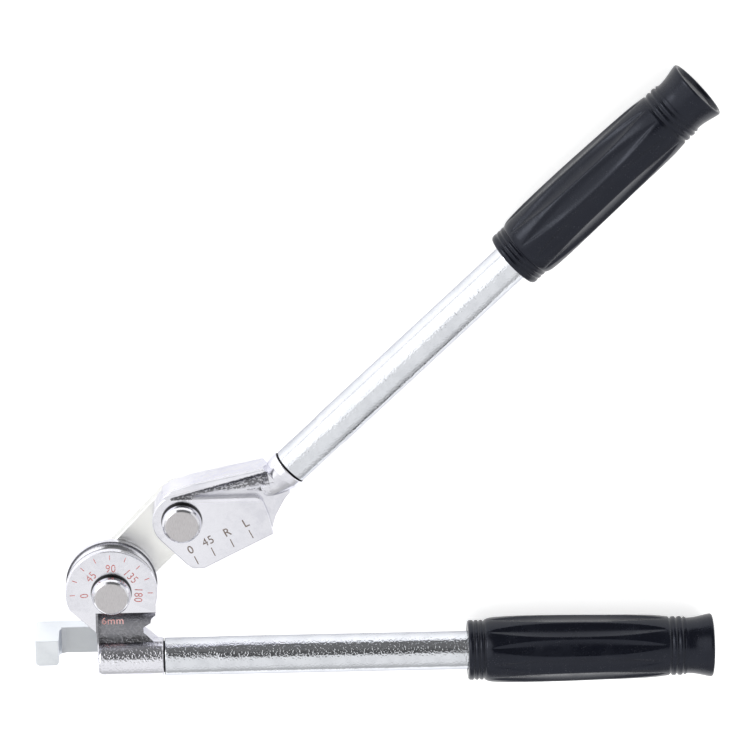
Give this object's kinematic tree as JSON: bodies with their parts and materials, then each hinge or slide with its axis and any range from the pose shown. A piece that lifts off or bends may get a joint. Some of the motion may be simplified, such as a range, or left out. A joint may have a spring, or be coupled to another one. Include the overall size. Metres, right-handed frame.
{
  "type": "tube bender",
  "caption": "Two-stage lever tube bender for 6 mm tube: grooved form wheel with an angle dial, pivoting link, marked shoe, swinging tube latch and two long gripped handles.",
  "frame": {"origin": "on the main pivot axis, in the mid-plane of the tube groove", "axes": "+X along the form handle towards its grip, +Y across the tool in its own plane towards the shoe, +Z out of the dial face; lying flat the tool rests on its -Z side"},
  "size_m": [0.2562, 0.2408, 0.0254],
  "materials": {
    "plated_forging": "bright nickel plate over a forged and part machined surface",
    "plated_tube": "bright plate over drawn tube, slightly mottled",
    "satin_link": "satin, warm silver",
    "satin_latch": "pale matt silver",
    "pin_steel": "polished shoulder with a fine brushed face",
    "bush_bronze": "plain sintered bronze",
    "hardware_steel": "plain spring steel",
    "grip_vinyl": "semi-gloss black dipped vinyl"
  },
  "bodies": {
    "form": {"form_head": "plated_forging", "form_tube": "plated_tube", "form_grip": "grip_vinyl", "main_pin": "pin_steel", "main_retaining_ring": "hardware_steel"},
    "link": {"link_bar": "satin_link", "main_bush": "bush_bronze", "shoe_bush": "bush_bronze", "main_thrust_washer": "hardware_steel", "main_rear_washer": "hardware_steel", "shoe_thrust_washer": "hardware_steel", "shoe_rear_washer": "hardware_steel"},
    "shoe_lever": {"shoe_head": "plated_forging", "shoe_tube": "plated_tube", "shoe_grip": "grip_vinyl", "shoe_pin": "pin_steel", "shoe_retaining_ring": "hardware_steel"},
    "latch": {"latch": "satin_latch", "latch_pin": "hardware_steel", "latch_spring_washer": "hardware_steel"}
  },
  "joints": [
    {"name": "link_hinge", "type": "hinge", "parent": "form", "child": "link", "pos_m": [0, 0, 0], "axis": [0, 0, 1], "range_deg": [-15, 133]},
    {"name": "shoe_hinge", "type": "hinge", "parent": "link", "child": "shoe_lever", "pos_m": [0.027, 0.0285, 0], "axis": [0, 0, 1], "range_deg": [-28, 105]},
    {"name": "latch_hinge", "type": "hinge", "parent": "form", "child": "latch", "pos_m": [-0.01, -0.0265, -0.0095], "axis": [1, 0, 0], "range_deg": [0, 95]}
  ]
}
